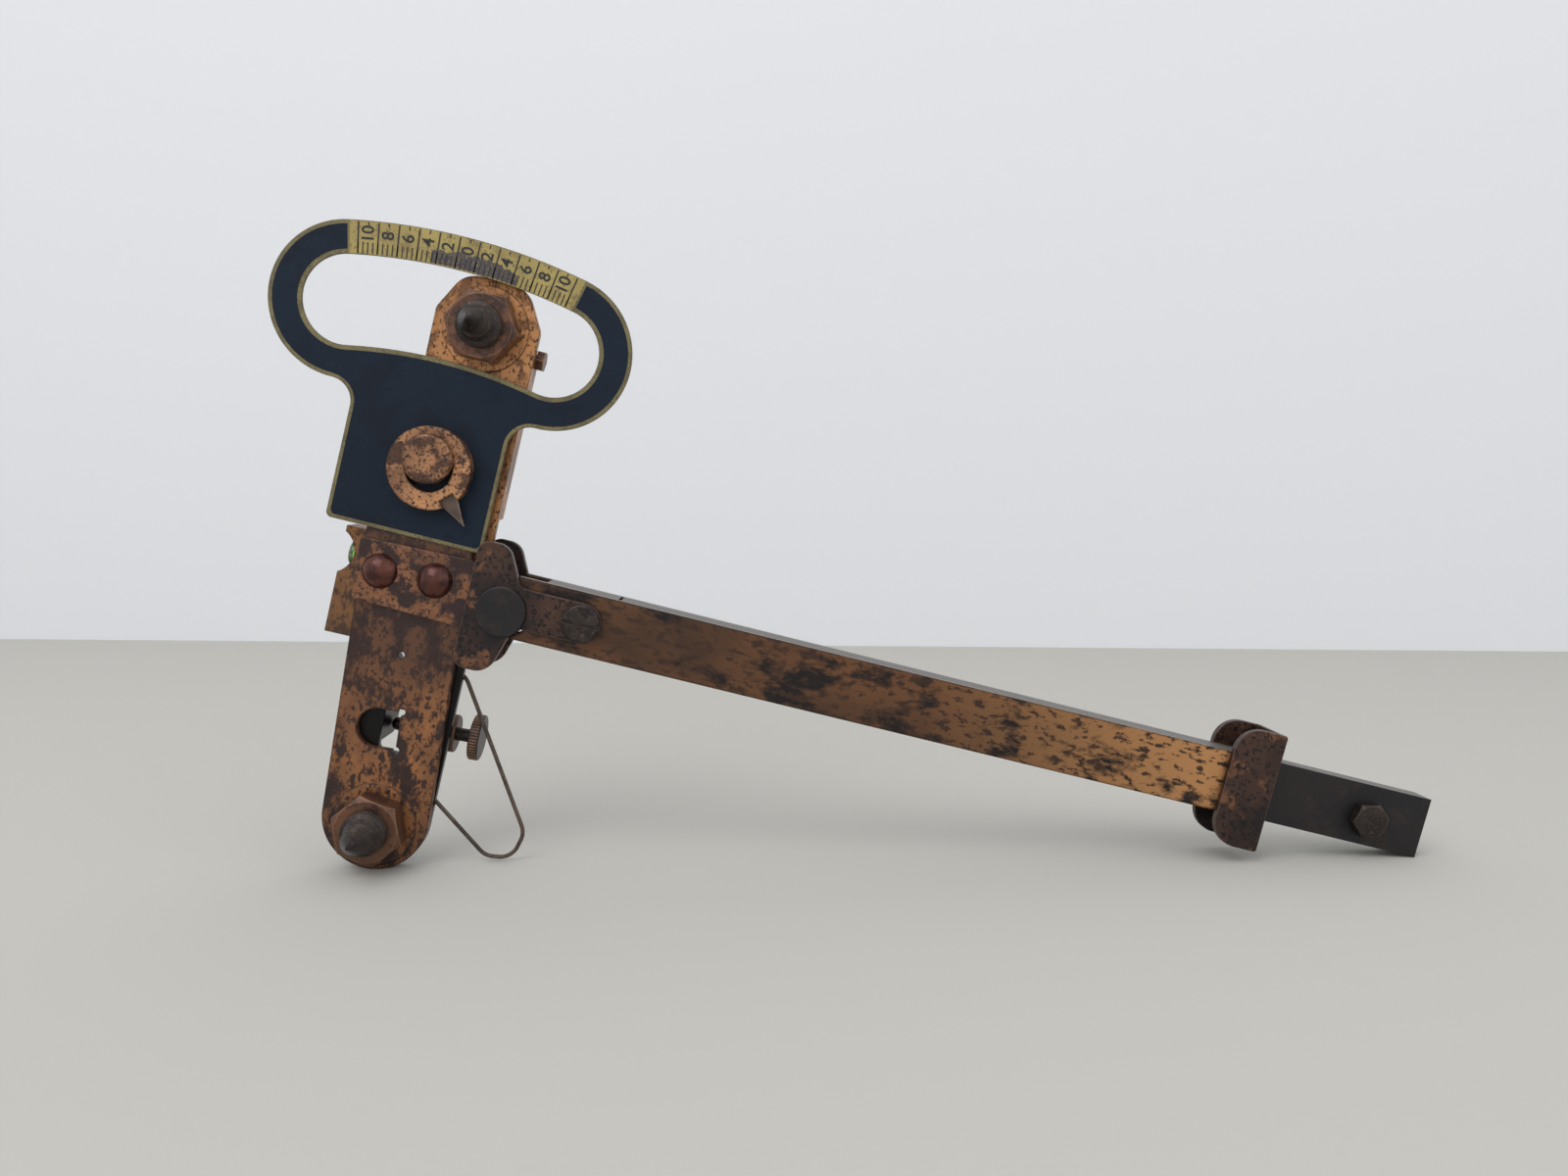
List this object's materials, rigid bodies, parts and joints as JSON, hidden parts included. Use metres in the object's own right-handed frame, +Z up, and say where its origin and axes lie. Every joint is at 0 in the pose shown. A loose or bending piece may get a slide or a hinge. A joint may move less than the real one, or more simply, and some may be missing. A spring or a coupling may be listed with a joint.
{
  "type": "camber caster gauge",
  "caption": "Wheel alignment gauge with two pivoting strips, a degree scale, a level vial, a hinged arm and a sliding extension.",
  "frame": {"origin": "under the middle of the overall box, on the floor the gauge stands on", "axes": "+X along the arm's run to the right, +Y away from the scale's face, +Z up"},
  "size_m": [0.413, 0.0531, 0.2262],
  "materials": {
    "strip_steel": "worn copper-toned plating with dark patches",
    "bar_steel": "worn copper-toned plating",
    "dial_face": "blue-black enamel with a tarnished brass scale",
    "dark_steel": "purple-brown oxidised steel",
    "strap_steel": "brown oxidised steel with worn copper tones",
    "rivet_steel": "glossy reddish brown steel",
    "nut_steel": "brown tarnished steel",
    "stud_steel": "dark oiled threaded steel",
    "ring_copper": "worn copper-toned plating",
    "needle_steel": "dark steel",
    "level_steel": "copper-gold plating",
    "vial_glass": "clear glass",
    "vial_fluid": "bright green liquid",
    "vial_plug": "plaster",
    "wire_steel": "dark spring wire",
    "arm_steel": "brown steel, brighter towards the far end",
    "black_steel": "blackened steel"
  },
  "bodies": {
    "head": {"front_strip": "strip_steel", "dial_plate": "dial_face", "hinge_strap": "strap_steel", "strap_rivets": "rivet_steel", "center_pin": "ring_copper", "lower_stud": "stud_steel", "lower_nut": "nut_steel", "hinge_pin": "black_steel"},
    "bar": {"back_bar": "bar_steel", "upper_stud": "stud_steel", "upper_nut": "nut_steel", "upper_back_nut": "nut_steel", "edge_screw": "nut_steel", "level_housing": "level_steel", "housing_rivets": "rivet_steel", "level_vial": "vial_glass", "vial_liquid": "vial_fluid", "vial_stoppers": "vial_plug", "vial_saddles": "vial_plug", "spring_wire": "wire_steel"},
    "pointer": {"pointer_ring": "ring_copper", "pointer_needle": "needle_steel"},
    "lock": {"lock_nut": "nut_steel"},
    "screw": {"thumb_screw": "stud_steel"},
    "arm": {"front_ear": "dark_steel", "rear_ear": "dark_steel", "arm_front_plate": "arm_steel", "arm_rear_plate": "arm_steel", "arm_spacer": "black_steel", "ear_screw": "stud_steel", "ear_screw_nut": "nut_steel", "guide_rivet": "nut_steel", "yoke": "dark_steel"},
    "extension": {"extension_bar": "black_steel", "end_bolt": "stud_steel", "end_bolt_nut": "nut_steel"}
  },
  "joints": [
    {"name": "bar_swing", "type": "hinge", "parent": "head", "child": "bar", "pos_m": [-0.17631, 0.00238, 0.0163], "axis": [0, 1, 0], "range_deg": [-13.2, 6.8]},
    {"name": "arm_swing", "type": "hinge", "parent": "head", "child": "arm", "pos_m": [-0.12902, 0.00238, 0.09256], "axis": [0, -1, 0], "range_deg": [-20, 15]},
    {"name": "extension_slide", "type": "slide", "parent": "arm", "child": "extension", "axis": [0.9696, 0, -0.2446], "range_m": [0, 0.15]},
    {"name": "pointer_turn", "type": "hinge", "parent": "head", "child": "pointer", "pos_m": [-0.15244, 0.00238, 0.14511], "axis": [0, 1, 0], "continuous": true},
    {"name": "screw_advance", "type": "slide", "parent": "head", "child": "lock", "axis": [0.9833, 0, -0.1822], "range_m": [-0.0081, 0.0043]},
    {"name": "screw_turn", "type": "hinge", "parent": "lock", "child": "screw", "pos_m": [-0.14456, 0.01799, 0.04439], "axis": [0.9833, 0, -0.1822], "continuous": true}
  ],
  "couplings": [
    {"joint": "screw_advance", "follows": "bar_swing", "m_per_rad": 0.034}
  ]
}
